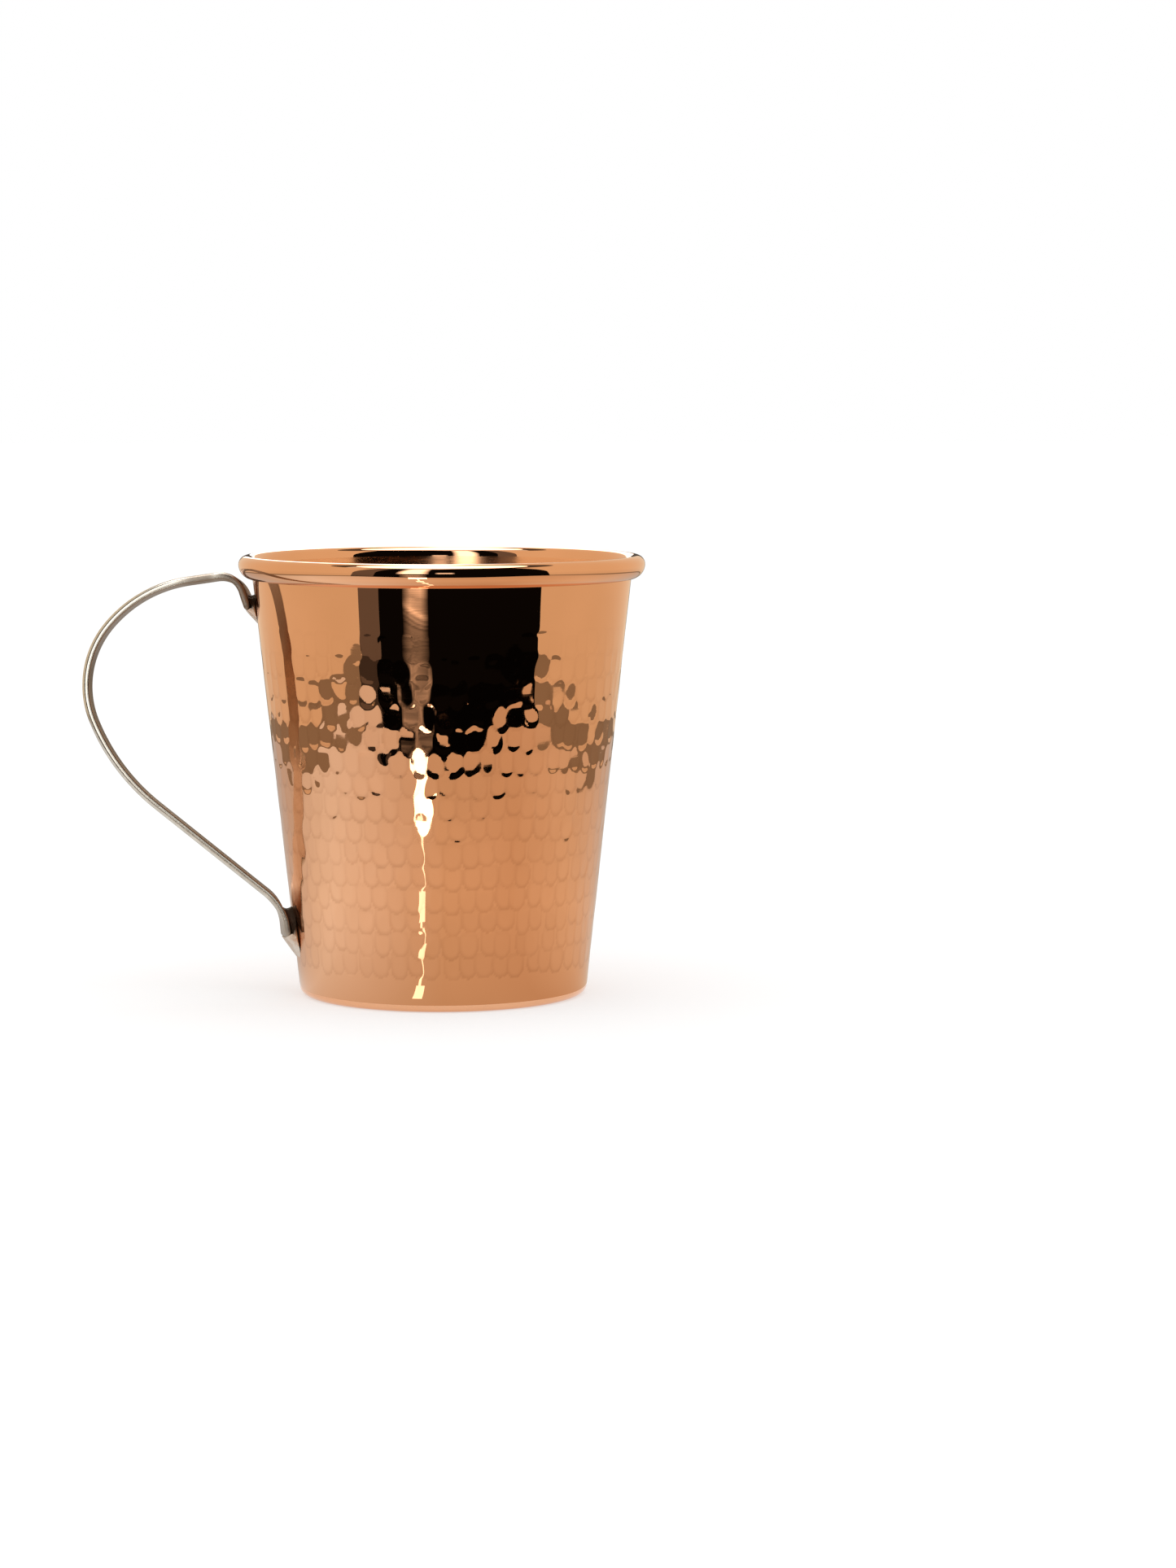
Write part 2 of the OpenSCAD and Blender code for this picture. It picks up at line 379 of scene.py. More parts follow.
def seam_copper():
    """Dull braze round the base."""
    n = Nodes("seam_copper")
    blotch = n.noise(n.place, scale=0.7 * PER_MM, detail=4.0, roughness=0.65)
    colour = n.mix(n.remap(blotch, 0.35, 0.65, 0.0, 1.0), (0.60, 0.27, 0.13), (0.78, 0.42, 0.26))
    return n.metal(colour, n.remap(blotch, 0.3, 0.7, 0.28, 0.45), n.bump(blotch, 0.02))


def strap_metal():
    """Satin warm grey strap with a fine grain, browned where brazing heated it, with painted shade on the
    finger side.
    """
    n = Nodes("strap_metal")
    grain = n.noise(n.place, scale=5.0 * PER_MM, detail=3.0, roughness=0.6)
    mottle = n.noise(n.place, scale=0.5 * PER_MM, detail=4.0, roughness=0.65)
    clean = n.mix(n.remap(mottle, 0.35, 0.65, 0.0, 1.0), (0.57, 0.53, 0.465), (0.70, 0.66, 0.59))
    heat = n.mix(n.remap(mottle, 0.35, 0.65, 0.0, 1.0), (0.11, 0.075, 0.052), (0.27, 0.20, 0.15))
    # Heat from brazing reaches a little way from each joint
    top = n.calc("MULTIPLY", n.remap(n.axis("Z"), 0.080, 0.088, 0.0, 1.0, True),
                 n.remap(n.axis("X"), -0.053, -0.0475, 0.0, 1.0, True))
    foot = n.remap(n.axis("Z"), 0.024, 0.014, 0.0, 0.7, True)
    bend = n.calc("MULTIPLY", n.remap(n.axis("X"), -0.061, -0.056, 0.0, 0.75, True),
                  n.remap(n.axis("X"), -0.053, -0.050, 1.0, 0.0, True))
    bend = n.calc("MULTIPLY", bend, n.remap(n.axis("Z"), 0.088, 0.091, 0.0, 1.0, True))
    joints = n.calc("MAXIMUM", n.calc("MAXIMUM", top, bend), foot)
    amount = n.calc("MULTIPLY", joints, n.remap(mottle, 0.25, 0.65, 0.6, 1.0))
    roughness = n.calc("ADD", n.remap(grain, 0.3, 0.7, 0.16, 0.21), n.calc("MULTIPLY", amount, 0.22))
    # The finger side, facing the mug, is painted browner and darker as shade, and is also duller
    finger = n.attribute("finger_side")
    colour = n.mix(n.calc("MULTIPLY", finger, 0.8), n.mix(amount, clean, heat), (0.27, 0.195, 0.135))
    roughness = n.calc("ADD", roughness, n.calc("MULTIPLY", finger, 0.12))
    return n.metal(colour, roughness, n.bump(grain, 0.0006), metallic=0.94)


def braze_metal():
    """Silvery braze with a tinge of copper in places, and painted shade in the gap behind the tab."""
    n = Nodes("braze_metal")
    blotch = n.noise(n.place, scale=0.55 * PER_MM, detail=4.0, roughness=0.65)
    colour = n.mix(n.remap(blotch, 0.45, 0.68, 0.0, 1.0, True), (0.74, 0.64, 0.55), (0.64, 0.45, 0.34))
    fine = n.noise(n.place, scale=1.8 * PER_MM, detail=3.0)
    # Painted shade in the narrow gap above each lump, which is also rougher there
    gap_shade = n.attribute("gap_shade")
    roughness = n.calc("ADD", n.remap(fine, 0.3, 0.7, 0.22, 0.40), n.calc("MULTIPLY", gap_shade, 0.25))
    return n.metal(n.mix(gap_shade, colour, (0.035, 0.022, 0.015)), roughness, n.bump(fine, 0.012))


# ---------------------------------------------------------------- the copper sheet

COLUMNS = 576
HAMMER_STEP = 0.43   # spacing of mesh rings where the wall is hammered
SMOOTH_STEP = 1.0    # and where it is smooth
MARK_MARGIN = 3.4    # the hammered rings reach this far past the lowest and highest rows of marks
HAIR = 0.018         # how much smaller than the CAD model the wall is drawn, at the bead
FOOT_RING_STEPS = (FOOT_RING_R, 27.0, 29.0)
OUT_ROWS = (10.6, 84.0)   # heights of the lowest and highest rows of marks, outside
OUT_PITCH = (3.95, 5.05)  # their spacing round the wall and up it
IN_ROWS = (8.4, 88.0)     # and the same inside
IN_PITCH = (3.9, 4.9)


def wall_heights(low, high, hammer_low, hammer_high):
    """Ring heights from low to high: close together across the hammered stretch."""
    parts = [np.arange(low, hammer_low, SMOOTH_STEP), np.arange(hammer_low, hammer_high, HAMMER_STEP),
             np.arange(hammer_high, high, SMOOTH_STEP)]
    return np.append(np.concatenate(parts), high)


def lip_angle(radius):
    """Angle in degrees at which a lower round of the bead comes within LIP_GAP of the wall."""
    away = (FOOT_R - BEAD_LOW[0]) * math.cos(LEAN) + BEAD_LOW[1] * math.sin(LEAN) + LIP_GAP
    return -math.degrees(LEAN + math.acos(away / radius))


def build_wall():
    """Foot ring, bend, tapered wall and rolled bead: one closed sheet, hammered on both faces."""
    lean = math.degrees(LEAN)
    theta = np.arange(COLUMNS) * TAU / COLUMNS
    out_n = np.array([math.cos(LEAN), -math.sin(LEAN)])
    rings, normals, depths, edges, lining = [], [], [], [], []

    def stretch(points, ring_normals, depth=None, edge=None, inside=False):
        """Add rings at points (r, z), with their outward normals, dents and painted shading at the mark
        edges.
        """
        plain = np.zeros((len(points), COLUMNS))
        rings.append(points)
        normals.append(ring_normals)
        depths.append(plain if depth is None else depth)
        edges.append(plain if edge is None else edge)
        lining.append(np.full(len(points), inside))

    def face(z, radius_at, side, depth, edge, inside):
        """Add the outer (side 1) or inner (side -1) face of the wall."""
        points = np.stack([[radius_at(h) for h in z], z], 1)
        stretch(points, np.tile(out_n * side, (len(z), 1)), depth, edge, inside)

    under = np.array([(r, 0.0) for r in FOOT_RING_STEPS])
    stretch(under, np.tile([0.0, -1.0], (len(under), 1)))
    stretch(*arc(FOOT_CENTRE, FOOT_BEND, -90, -lean, 10))

    bend_top = FOOT_CENTRE[1] - FOOT_BEND * math.sin(LEAN)
    hollow_top = BEAD_TOP[1] + HOLLOW_R * math.sin(LEAN)
    rng = np.random.default_rng(7)
    z = wall_heights(bend_top + 0.8, hollow_top - 0.3,
                     OUT_ROWS[0] - MARK_MARGIN, OUT_ROWS[1] + MARK_MARGIN)
    # edge is how strongly shading is painted along the marks' edges, with a random tone for each mark
    marks, edge = hammer_marks(theta, z, wall_r, rng, OUT_ROWS, OUT_PITCH, depth=0.062, fade_z=72.0)
    fade = smoothstep((z - bend_top) / 4) * smoothstep((hollow_top - z) / 3)
    waves = soft_waves(theta, z, rng, 9, 0.016) * fade[:, None]
    face(z, wall_r, 1, marks + waves, edge, False)

    for centre, radius, start, end, steps in (
            (BEAD_TOP, HOLLOW_R, 180 - lean, 0, 8),
            (BEAD_LOW, TUCK_R - SHEET, 0, lip_angle(TUCK_R - SHEET), 7)):
        points, n = arc(centre, radius, start, end, steps)
        stretch(points, -n)
    for centre, radius, start, end, steps in (
            (BEAD_LOW, TUCK_R, lip_angle(TUCK_R), 0, 14),
            (BEAD_TOP, BEAD_R, 0, 180 - lean, 26)):
        stretch(*arc(centre, radius, start, end, steps))

    rng = np.random.default_rng(19)
    inner_low = FOOT_CENTRE[1] - (FOOT_BEND - SHEET) * math.sin(LEAN)
    inner_high = BEAD_TOP[1] + BEAD_R * math.sin(LEAN)
    z = wall_heights(inner_low + 0.5, inner_high - 0.5,
                     IN_ROWS[0] - MARK_MARGIN, IN_ROWS[1] + MARK_MARGIN)
    marks, edge = hammer_marks(theta, z, lining_r, rng, IN_ROWS, IN_PITCH, depth=0.085, fade_z=86.0,
                               overlap=(0.52, 0.56), flat=0.040, dish=0.026, slant=0.0, lip=0.15,
                               low_depth=1.0)
    fade = smoothstep((z - inner_low) / 3) * smoothstep((inner_high - z) / 3)
    waves = soft_waves(theta, z, rng, 9, 0.02) * fade[:, None]
    face(z[::-1], lining_r, -1, (marks + waves)[::-1], edge[::-1], True)

    points, n = arc(FOOT_CENTRE, FOOT_BEND - SHEET, -lean, -90, 6)
    stretch(points, -n, inside=True)
    over = np.array([(r, SHEET) for r in FOOT_RING_STEPS[::-1]])
    stretch(over, np.tile([0.0, 1.0], (len(over), 1)), inside=True)

    ring, normal = np.concatenate(rings), np.concatenate(normals)
    depth, inside = np.concatenate(depths), np.concatenate(lining)
    r = ring[:, :1] - normal[:, :1] * depth
    height = ring[:, 1:] - normal[:, 1:] * depth
    points = turned(r, height, theta)
    # Slightly under size, so that the mesh stays inside the CAD model's box
    points[:, :2] *= 1 - HAIR / MOUTH_R
    quads = grid_quads(len(ring), COLUMNS, wrap_rows=True, wrap_cols=True)
    slot_index = np.repeat(inside.astype(int), COLUMNS)
    wall = mesh_piece("copper_wall", points, quads, (outer_copper(), inner_copper()), slot_index)
    # The painted shading along the mark edges, for both copper materials to read
    add_layer(wall, "mark_edge_shading", np.concatenate(edges))
    return ride(wall, "wall_copper", "body_wall")


# ---------------------------------------------------------------- the base

DISC_ROUND = 24.6    # radius of the ring of hammer marks on the disc
DISC_MARKS = 44      # how many marks it has
LOOSE_MARKS = 46     # shallower ones anywhere inside it


def build_disc():
    """Base disc: a flat plate with a rounded upper edge and a ring of hammer marks near it."""
    cols = 384
    theta = np.arange(cols) * TAU / cols
    rng = np.random.default_rng(31)
    top_r = np.concatenate([[0.6], np.arange(1.4, DISC_R - DISC_EDGE, 0.45)])
    depth = np.zeros((len(top_r), cols))
    x, y = top_r[:, None] * np.cos(theta), top_r[:, None] * np.sin(theta)

    def strike(radius, angle, half_r, half_t, deep):
        """One round hammer mark."""
        away_r = (x * math.cos(angle) + y * math.sin(angle) - radius) / half_r
        away_t = (-x * math.sin(angle) + y * math.cos(angle)) / half_t
        rho = np.sqrt(away_r ** 2 + away_t ** 2)
        mark = deep * (1 - 0.8 * rho ** 2)
        depth[:] += (np.maximum(mark, 0) - depth) * smoothstep((1.1 - rho) / 0.25)

    for _ in range(LOOSE_MARKS):
        strike(20 * math.sqrt(rng.uniform()), rng.uniform(0, TAU), rng.uniform(2.4, 4),
               rng.uniform(2.4, 4), rng.uniform(0.012, 0.03))
    for i in range(DISC_MARKS):
        strike(DISC_ROUND + rng.normal(0, 0.25), TAU * (i + rng.normal(0, 0.08)) / DISC_MARKS, 2.4, 1.95,
               0.085 * (1 + rng.normal(0, 0.2)))
    depth *= smoothstep((DISC_R - DISC_EDGE - top_r) / 1.2)[:, None]

    rings = [(r, DISC_TOP) for r in top_r]
    edge, _ = arc((DISC_R - DISC_EDGE, DISC_TOP - DISC_EDGE), DISC_EDGE, 90, 0, 5)
    rings += [tuple(p) for p in edge] + [(DISC_R, SHEET)] + [(r, SHEET) for r in (25, 18, 10, 4, 0.6)]
    rings = np.array(rings)
    z = np.repeat(rings[:, 1:], cols, 1)
    z[:len(top_r)] -= depth
    points = turned(rings[:, :1], z, theta)
    quads = [tuple(q[::-1]) for q in grid_quads(len(rings), cols, wrap_cols=True)]
    first = len(points)
    points = np.vstack([points, [[0, 0, DISC_TOP - depth[0].mean()], [0, 0, SHEET]]])
    last = (len(rings) - 1) * cols
    quads += [(c, (c + 1) % cols, first) for c in range(cols)]
    quads += [(last + (c + 1) % cols, last + c, first + 1) for c in range(cols)]
    disc = mesh_piece("base_plate", points, quads, (disc_copper(),))
    return ride(disc, "base_copper", "base_disc")


def build_seam():
    """Ring of braze between the disc's edge and the wall, with an uneven hollow top."""
    cols, cove_points = 360, 12
    theta = np.arange(cols) * TAU / cols
    lean = math.degrees(LEAN)
    under, _ = arc(FOOT_CENTRE, FOOT_BEND - SHEET, -90, -lean, 6)
    wall_edge = np.array([lining_r(COVE_Z), COVE_Z])
    disc_edge = np.array([DISC_R, DISC_TOP - DISC_EDGE])
    low = np.array([(wall_edge[0] + DISC_R) / 2, SHEET + 0.1])
    t = np.linspace(0, 1, cove_points)[:, None]
    cove = (1 - t) ** 2 * wall_edge + 2 * t * (1 - t) * low + t ** 2 * disc_edge
    outline = np.vstack([[[DISC_R, SHEET]], under, cove])
    sway = np.zeros(len(outline))
    sway[-cove_points:] = np.sin(np.linspace(0, math.pi, cove_points))
    rough = np.array([noise.noise(Vector((9 * math.cos(a), 9 * math.sin(a), 3.0))) for a in theta])
    fine = np.array([noise.noise(Vector((30 * math.cos(a), 30 * math.sin(a), 8.0))) for a in theta])
    z = outline[:, 1:] + sway[:, None] * (0.10 * rough + 0.05 * fine - 0.05)
    quads = grid_quads(len(outline), cols, wrap_rows=True, wrap_cols=True)
    seam = mesh_piece("base_seam_ring", turned(outline[:, :1], z, theta), quads, (seam_copper(),))
    return ride(seam, "base_seam", "base_braze")


# ---------------------------------------------------------------- the handle

def strap_line(step=0.9, turn_step=2.0):
    """The strap's centreline: points (r, z) and headings in degrees, from the lower end up."""
    point, heading = np.array(STRAP_START), STRAP_HEADING
    line = [(point, heading)]
    for leg in STRAP_LEGS:
        if len(leg) == 1:
            steps = max(1, round(leg[0] / step))
            for _ in range(steps):
                a = math.radians(heading)
                point = point + leg[0] / steps * np.array([math.cos(a), math.sin(a)])
                line.append((point, heading))
            continue
        radius, turn = leg
        side = math.copysign(1, turn)
        a = math.radians(heading + 90)
        centre = point + side * radius * np.array([math.cos(a), math.sin(a)])
        steps = math.ceil(abs(turn) / turn_step)
        start = heading
        for i in range(1, steps + 1):
            heading = start + turn * i / steps
            a = math.radians(heading + 90)
            point = centre - side * radius * np.array([math.cos(a), math.sin(a)])
            line.append((point, heading))
    return np.array([p for p, _ in line]), np.array([h for _, h in line])


def strap_section(width, thickness, across=7, corner=6):
    """Closed outline of the strap's section: (across the handle, through the strap, finger side up)."""
    outline = []
    for sy, st, start, rounding in ((1, 1, 0, FINGER_EDGE), (-1, 1, 90, FINGER_EDGE),
                                    (-1, -1, 180, OUTER_EDGE), (1, -1, 270, OUTER_EDGE)):
        half_w, half_t = width / 2 - rounding, thickness / 2 - rounding
        a = np.radians(np.linspace(start, start + 90, corner))
        outline += [(sy * half_w + rounding * math.cos(b), st * half_t + rounding * math.sin(b))
                    for b in a]
        if start in (0, 180):
            run = np.linspace(sy * half_w, -sy * half_w, across + 2)[1:-1]
            outline += [(y, st * thickness / 2) for y in run]
    return np.array(outline)


def strap_points(share, y, t):
    """Points on or in the strap, in the mug's frame.

    share is how far along the centreline they are, from 0 at the lower end to 1 at the upper end. y
    runs across the strap from its middle, and t through it, positive on the finger side. The strap
    twists near its ends, so that both tabs seat flat on the round wall, and the whole handle cants.
    """
    line, heading = strap_line()
    reach = np.concatenate([[0], np.cumsum(np.linalg.norm(np.diff(line, axis=0), axis=1))])
    distance = np.asarray(share, float) * reach[-1]
    r, z = (np.interp(distance, reach, line[:, k]) for k in range(2))
    a = np.radians(np.interp(distance, reach, heading))
    end_gap = np.minimum(distance, reach[-1] - distance)
    twist = np.radians(-TAB_TWIST) * (1 - smoothstep(end_gap / TWIST_LENGTH))
    y, t = y * np.cos(twist) - t * np.sin(twist), y * np.sin(twist) + t * np.cos(twist)
    r, z = r - np.sin(a) * t, z + np.cos(a) * t
    middle = (line[0][1] + line[-1][1]) / 2
    lean = math.radians(-HANDLE_CANT)
    x = -r
    return np.stack(np.broadcast_arrays(x, y * math.cos(lean) - (z - middle) * math.sin(lean),
                                        y * math.sin(lean) + (z - middle) * math.cos(lean) + middle), -1)


def closed_tube(name, rings, material, sharp=40):
    """A mesh from equal closed rings, with a face over each end."""
    cols = len(rings[0])
    last = (len(rings) - 1) * cols
    quads = [tuple(q) for q in grid_quads(len(rings), cols, wrap_cols=True)]
    quads.append(tuple(range(cols - 1, -1, -1)))
    quads.append(tuple(range(last, last + cols)))
    return mesh_piece(name, np.concatenate(rings), quads, (material,), sharp=sharp)


def strap_length():
    """Length of the strap's centreline, in mm."""
    line, _ = strap_line()
    return np.linalg.norm(np.diff(line, axis=0), axis=1).sum()


def build_strap():
    """Flat strip with rounded edges, bent into an open bow with a tab at each end."""
    # Slightly under size, so that the swell below stays inside the CAD strap
    section = strap_section(STRAP_W - 0.06, STRAP_T - 0.03)
    end_rounding = 0.33
    stations = np.linspace(0, 1, 200)
    rings = []
    for i, at in enumerate(stations):
        swell = 0.02 * noise.noise(Vector((i * 0.06, 4.2, 0.0))) - 0.01
        cut = end_rounding if i in (0, len(stations) - 1) else 0.0
        y = section[:, 0] * (1 - cut / (STRAP_W / 2))
        t = section[:, 1] * (1 - cut / (STRAP_T / 2)) * (1 + swell)
        rings.append(strap_points(at, y, t))
    strap = closed_tube("handle_band", rings, strap_metal())
    # Painted shade on the finger side, which faces the mug
    finger = smoothstep((section[:, 1] / (STRAP_T / 2) - 0.5) / 0.4)
    add_layer(strap, "finger_side", np.tile(finger, len(rings)))
    return ride(strap, "handle_metal", "handle_strap")


BRAZE_OVERHANG = 0.3  # how far the lumps reach past the strap's edges
BRAZE_BITE = 0.12     # and into the wall, so that no dent leaves a gap


def build_braze(name, node, upper, drop, creep, seed):
    """Lump of braze that fills the corner under a tab's end and creeps up between tab and wall.

    drop is how far it runs down the wall below the tab's end, and creep how far it climbs behind it.
    """
    length = strap_length()
    wall_side = -1 if upper else 1

    def on_tab(distance, y, t):
        """A point on the tab at a distance from its end, t in half thicknesses towards the wall."""
        at = distance / length
        return strap_points(1 - at if upper else at, y, t * wall_side * STRAP_T / 2)

    def on_wall(y, z):
        """A point on the wall's face, a little way into the sheet."""
        return np.array([BRAZE_BITE - math.sqrt(wall_r(z) ** 2 - y ** 2), y, z])

    half = STRAP_W / 2 + BRAZE_OVERHANG
    rings = []
    for w in np.linspace(-1, 1, 49):
        # The lump gets thinner and shorter towards its two ends
        body = math.sqrt(max(0.0, 1 - abs(w) ** 8))
        lump = noise.noise(Vector((w * 4.0, seed, 0.3)))
        fine = noise.noise(Vector((w * 11.0, seed, 7.3)))
        climb = creep * (0.5 + 0.5 * body * (1 - w * w)) + 0.4 * lump
        face = np.array([on_tab(d, w * half, 1.0) for d in np.linspace(climb, 0, 7)])
        start = on_tab(0.0, w * half, -0.9)
        neck = face[0]
        tip_z = start[2] - drop + 0.4 * lump + 0.2 * fine + (1 - body) * drop * 0.6
        wall_z = np.linspace(tip_z, neck[2] + 0.2, 10)
        wall_y = np.interp(wall_z, [tip_z, neck[2]], [start[1], neck[1]])
        wall = np.array([on_wall(y, z) for y, z in zip(wall_y, wall_z)])
        t = np.linspace(0, 1, 10)[:, None]
        bow = (start + wall[0]) / 2 + np.array([-0.15 - 0.3 * lump, 0, -0.1])
        front = (1 - t) ** 2 * start + 2 * t * (1 - t) * bow + t ** 2 * wall[0]
        sag = (wall[-1] + neck) / 2 - np.array([0, 0, 0.35 * np.linalg.norm(wall[-1] - neck)])
        meniscus = (1 - t) ** 2 * wall[-1] + 2 * t * (1 - t) * sag + t ** 2 * neck
        ring = np.vstack([front, wall[1:-1], meniscus, face[1:]])
        centre = ring.mean(0)
        rings.append(centre + (ring - centre) * (0.3 + 0.7 * body))
    piece = closed_tube(name, rings, braze_metal(), sharp=60)
    # No painted shade in front, and painted shade from the wall side round to the gap behind the tab
    around = np.concatenate([np.zeros(10), np.linspace(0, 0.9, 8), np.ones(16)])
    add_layer(piece, "gap_shade", np.tile(around, len(rings)))
    return ride(piece, "joint_braze", node)


def build_brazes():
    build_braze("upper_joint_braze", "upper_braze", True, 2.9, 3.4, 2.0)
    build_braze("lower_joint_braze", "lower_braze", False, 4.6, 6.5, 6.0)


# ---------------------------------------------------------------- stage, light and camera

FLOOR_WHITE = 0.52   # share of the light that the floor returns
FLOOR_GLOW = 0.50    # and how much it gives of its own
FLOOR_GAP = 0.05     # between the floor and the mug's foot


def stage_floor():
    """A pale floor that glows a little, so that it stays white all the way to the horizon."""
    half = 6000
    corners = [(-half, -half, 0), (half, -half, 0), (half, half, 0), (-half, half, 0)]
    n = Nodes("floor_white")
    n.bsdf.inputs["Base Color"].default_value = (FLOOR_WHITE, FLOOR_WHITE, FLOOR_WHITE, 1.0)
    n.bsdf.inputs["Roughness"].default_value = 0.9
    n.bsdf.inputs["Specular IOR Level"].default_value = 0.0
    n.bsdf.inputs["Emission Color"].default_value = (1.0, 1.0, 1.0, 1.0)
    n.bsdf.inputs["Emission Strength"].default_value = FLOOR_GLOW
    floor = mesh_piece("stage_floor", corners, [(0, 1, 2, 3)], (n.material,))
    floor.location.z = -FLOOR_GAP * MM


def direction(azimuth):
    """Unit vector on the floor; azimuth 0 points from the mug to the camera, positive to its right."""
    place = camera_place()
    a = math.radians(azimuth) + math.atan2(place.x, -place.y)
    return np.array([math.sin(a), -math.cos(a), 0.0])


def tone_at(tones, azimuth):
    """Colour between the nearest of some (azimuth, colour) stops."""
    stops = np.array([t[0] for t in tones])
    return np.array([np.interp(azimuth, stops, [t[1][k] for t in tones]) for k in range(3)])


def reflection_card(name, tones, rows):
    """A glowing sheet swept round the mug that only mirror reflections see.

    rows are (distance from the axis, height, brightness): a distance may depend on the azimuth. The
    colour follows the (azimuth, colour) stops; two stops at one azimuth make a hard edge.
    """
    stops = [t[0] for t in tones]
    azimuths = np.unique(np.concatenate([np.arange(stops[0], stops[-1], 3.0), stops,
                                         np.array(stops[1:-1]) - 0.05]))
    points, colours = [], []
    for r, z, bright in rows:
        for az in azimuths:
            points.append(direction(az) * (r(az) if callable(r) else r) + np.array([0, 0, z]))
            colours.append((*(tone_at(tones, az) * bright), 1.0))
    n = Nodes(name)
    glow = n.add("ShaderNodeAttribute", attribute_name="tone").outputs["Color"]
    n.bsdf.inputs["Base Color"].default_value = (0, 0, 0, 1)
    n.bsdf.inputs["Specular IOR Level"].default_value = 0.0
    n.put(n.bsdf.inputs["Emission Color"], glow)
    n.bsdf.inputs["Emission Strength"].default_value = 1.0
    card = mesh_piece(name, points, grid_quads(len(rows), len(azimuths)), (n.material,))
    layer = card.data.color_attributes.new("tone", "FLOAT_COLOR", "POINT")
    layer.data.foreach_set("color", np.array(colours, np.float32).ravel())
    card.visible_camera = False
    card.visible_diffuse = False
    card.visible_shadow = False


def table_edge(azimuth, front=206.0, side=245.0, back=500.0, squareness=4.0):
    """Distance from the axis to the edge of a white table with rounded corners."""
    d = direction(azimuth)
    depth = front if d[1] < 0 else back
    return ((abs(d[1]) / depth) ** squareness + (abs(d[0]) / side) ** squareness) ** (-1 / squareness)


BLACK = (0.004, 0.0035, 0.003)
BROWN = (0.16, 0.13, 0.11)
TAN = (0.86, 0.70, 0.51)
DUSK = (0.10, 0.085, 0.07)
CREAM = (3.4, 3.3, 3.2)
FRONT_TONES = ((-50.05, TAN), (-50, BROWN), (-37.05, BROWN), (-37, BLACK), (60, BLACK), (60.05, TAN))
LOW_TONES = ((-180, DUSK), (-172, DUSK), (-165, TAN), *FRONT_TONES, (165, TAN), (172, DUSK), (180, DUSK))
# The strap's finger side faces the right half of the back, so that half has little of the bright strip
HIGH_TONES = ((-180, CREAM), (-173, CREAM), (-168, TAN), *FRONT_TONES, (176, TAN), (179, CREAM),
              (180, CREAM))
SHADE_TONES = ((-180, CREAM), (-168, CREAM), (-160, DUSK), (-50, DUSK), (-37, BLACK), (60, BLACK),
               (60.05, DUSK), (176, DUSK), (179, CREAM), (180, CREAM))
# Glow of the table card by azimuth: painted shade and warm reflected light on the white table, greyer
# towards the back and warmer in front
TABLE_TONES = ((-180, (0.55, 0.50, 0.45)), (-125, (0.70, 0.64, 0.58)), (-95, (0.92, 0.90, 0.87)),
               (-79, (1.0, 1.0, 1.0)), (-49, (0.92, 0.85, 0.79)), (0, (0.78, 0.61, 0.45)),
               (45, (0.75, 0.56, 0.40)), (90, (0.85, 0.70, 0.55)), (125, (0.80, 0.70, 0.60)),
               (180, (0.55, 0.50, 0.45)))


TABLE_BORDER = 60.0  # width of the dim band of floor just past the table
STREAK_STEP = 3.0    # width of one band of the streak of light on the floor
STREAK_BANDS = 72
STREAK_RISE = (125.0, 25.0)  # the streak brightens from this far past the table, over this distance


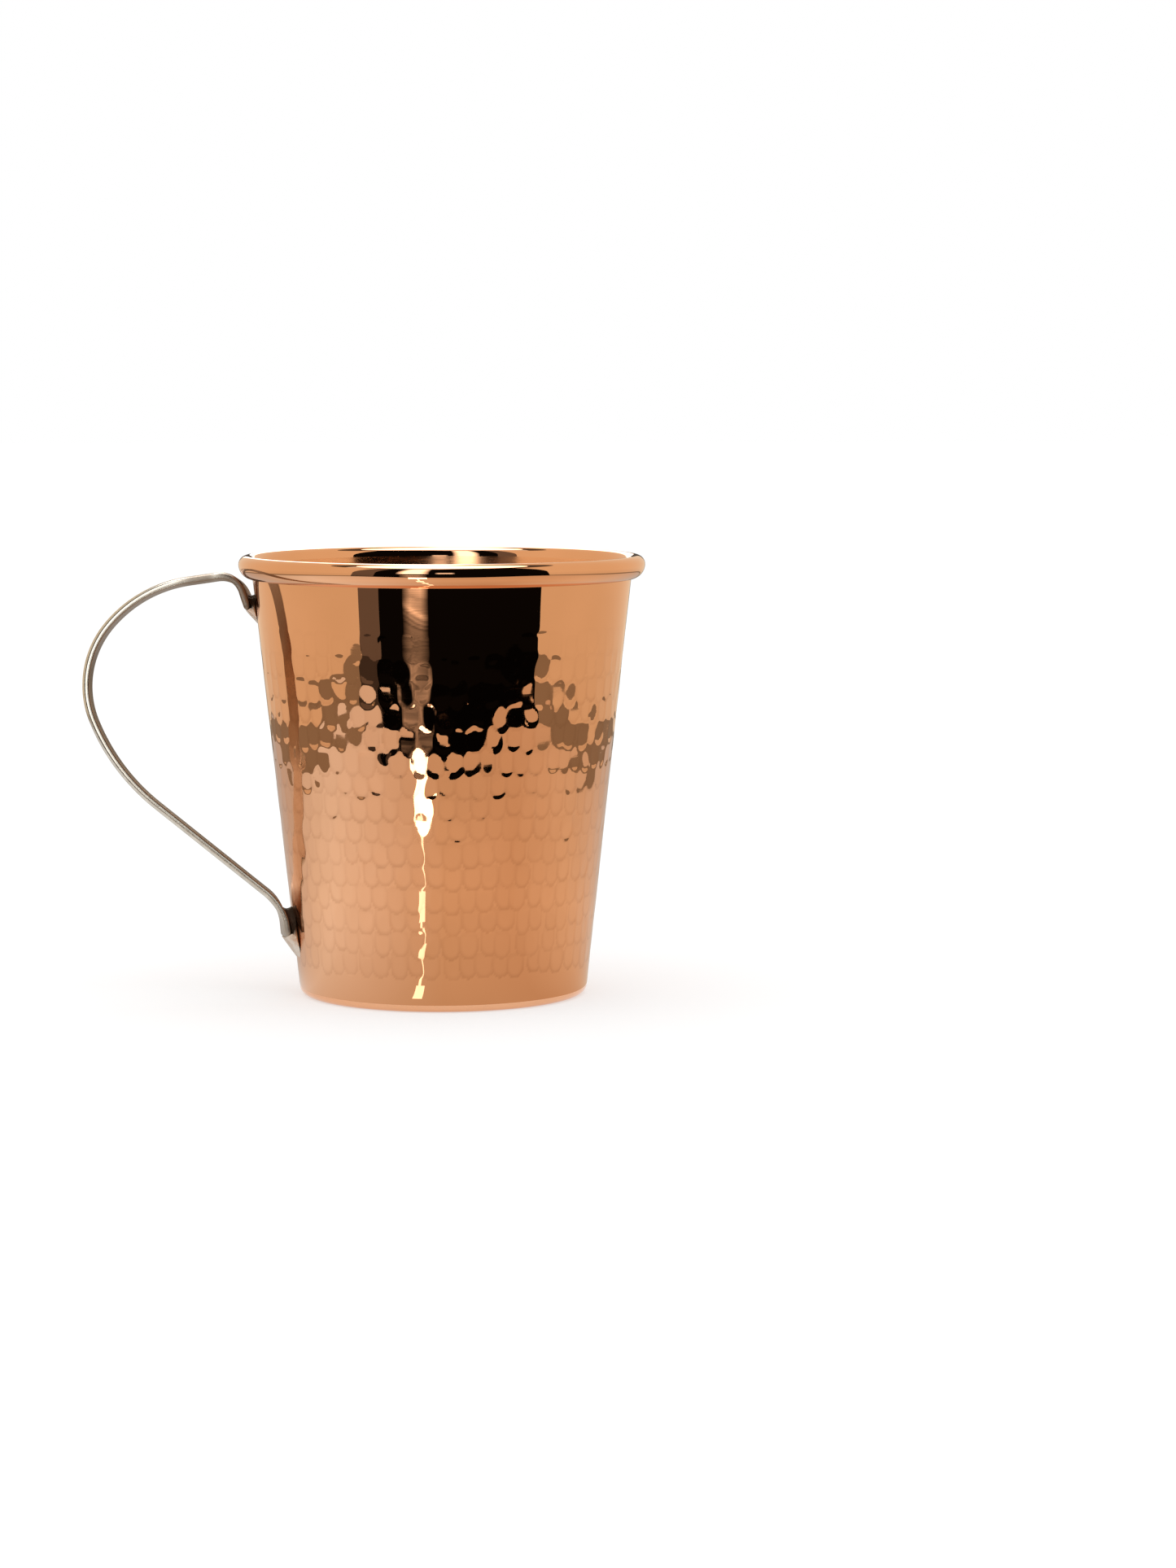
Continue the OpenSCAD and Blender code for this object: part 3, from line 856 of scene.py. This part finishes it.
def stage_cards():
    """What the polished copper reflects: a white table, a dark room beyond it, and lights."""
    far, low_z, shade_z, high = 900.0, 170.0, 1450.0, 2000.0

    def past_edge(azimuth):
        return table_edge(azimuth) + TABLE_BORDER

    # The table card is dimmer right by the mug, as painted shade, and a little dimmer again at its edge
    reflection_card("card_table", TABLE_TONES,
                    [(34.0, 1.0, 0.84), (110.0, 1.0, 1.0), (table_edge, 1.0, 0.88)])
    reflection_card("card_border", LOW_TONES, [(table_edge, 1.0, 0.34), (past_edge, 1.0, 0.34)])
    reflection_card("card_room", LOW_TONES, [(past_edge, 1.0, 0.9), (far, 1.0, 1.0), (far, low_z, 1.0)])
    reflection_card("card_wall", HIGH_TONES, [(far, low_z, 1.0), (far, shade_z, 1.0)])
    reflection_card("card_shade", SHADE_TONES, [(far, shade_z, 1.0), (far, high, 1.0)])
    reflection_card("card_sky", ((-180, CREAM), (180, CREAM)), [(far, high, 1.0), (1.0, high, 1.0)])

    # An upright lamp to the left of the camera, and a weaker low one nearly behind it
    lamp, off = (1.0, 0.97, 0.92), (0.0, 0.0, 0.0)
    upright = ((-25, off), (-20, lamp), (-12, lamp), (-7, off))
    reflection_card("card_lamp", upright, [(600.0, 60.0, 3.0), (600.0, 900.0, 3.0)])
    facing = ((-4, off), (-2, lamp), (5, lamp), (7, off))
    reflection_card("card_facing", facing, [(850.0, 70.0, 1.1), (850.0, 270.0, 1.1)])
    # Light on the dark floor past the table, in bands: polishing lines draw it out into a streak
    rng = np.random.default_rng(43)
    warm = (1.0, 0.84, 0.70)
    streak = ((-23, off), (-18.5, warm), (-12.5, warm), (-8, off))
    rows = []
    for k in range(STREAK_BANDS):
        past = STREAK_STEP * (1 + k)
        level = 0.34 + 0.7 * float(smoothstep((past - STREAK_RISE[0]) / STREAK_RISE[1]))
        rows.append((lambda az, past=past: table_edge(az) + past, 3.0, level * rng.uniform(0.35, 1.65)))
    reflection_card("card_streak", streak, rows)
    # The lamp's own reflection on the white table, narrow near the mug and broken up. Each pool has its
    # near and far distance from the axis, then the azimuths it starts and ends at.
    pools = ((158, table_edge, -18.0, -8.0), (82, 158, -13.6, -12.4), (40, 82, -12.3, -11.0),
             (86, 106, -15.2, -10.8), (59, 70, -14.0, -9.5), (35, 43, -13.0, -9.0))
    for i, (near, beyond, first, last) in enumerate(pools):
        bright = 4.5 if beyond is table_edge else 2.4
        height = 2.0 + 0.1 * i
        rows = [(near, height, bright), (beyond, height, bright)]
        reflection_card("card_pool_" + str(i), ((first, lamp), (last, lamp)), rows)


# The camera turns this many degrees about Z from looking along +Y, so the handle points towards it a little
CAMERA_TURN = -3.0
CAMERA_AWAY = 951.0
CAMERA_HEIGHT = 144.9
CAMERA_PITCH = 5.84
CAMERA_SIDE = 33.04  # how far the optical axis passes to the right of the mug's axis
LENS = 96.4


def camera_place():
    """Where the camera stands, in mm."""
    turn = math.radians(CAMERA_TURN)
    ahead = Vector((-math.sin(turn), math.cos(turn), 0.0))
    right = Vector((math.cos(turn), math.sin(turn), 0.0))
    return -ahead * CAMERA_AWAY + right * CAMERA_SIDE + Vector((0, 0, CAMERA_HEIGHT))


def make_camera():
    """The view that the mug is shown in."""
    data = bpy.data.cameras.new("camera")
    data.sensor_fit = "VERTICAL"
    data.sensor_height = 36.0
    data.lens = LENS
    data.clip_start = 0.05
    data.clip_end = 50.0
    camera = bpy.data.objects.new("camera", data)
    bpy.context.scene.collection.objects.link(camera)
    camera.location = camera_place() * MM
    camera.rotation_euler = (math.radians(90 - CAMERA_PITCH), 0.0, math.radians(CAMERA_TURN))
    bpy.context.scene.camera = camera


def area_light(name, place, target, size, power):
    """A soft rectangular light, placed and aimed in mm, that the camera does not see."""
    data = bpy.data.lights.new(name, "AREA")
    data.shape = "RECTANGLE"
    data.size, data.size_y = size[0] * MM, size[1] * MM
    data.energy = power
    light = bpy.data.objects.new(name, data)
    bpy.context.scene.collection.objects.link(light)
    light.location = Vector(place) * MM
    aim = Vector(target) - Vector(place)
    light.rotation_euler = aim.to_track_quat("-Z", "Y").to_euler()
    light.visible_camera = False


def make_light():
    """An even white sky and one weak overhead light."""
    world = bpy.data.worlds.new("studio")
    world.use_nodes = True
    world.node_tree.nodes["Background"].inputs["Color"].default_value = (1.0, 1.0, 1.0, 1.0)
    world.node_tree.nodes["Background"].inputs["Strength"].default_value = 1.0
    bpy.context.scene.world = world
    bpy.context.scene.view_settings.view_transform = "Standard"
    area_light("overhead", (-150, -150, 1500), (0, 0, 0), (1200, 1200), 3.0)


# ---------------------------------------------------------------- assembly

make_camera()
build_wall()
build_disc()
build_seam()
build_strap()
build_brazes()
stage_floor()
stage_cards()
make_light()

bpy.context.view_layer.update()
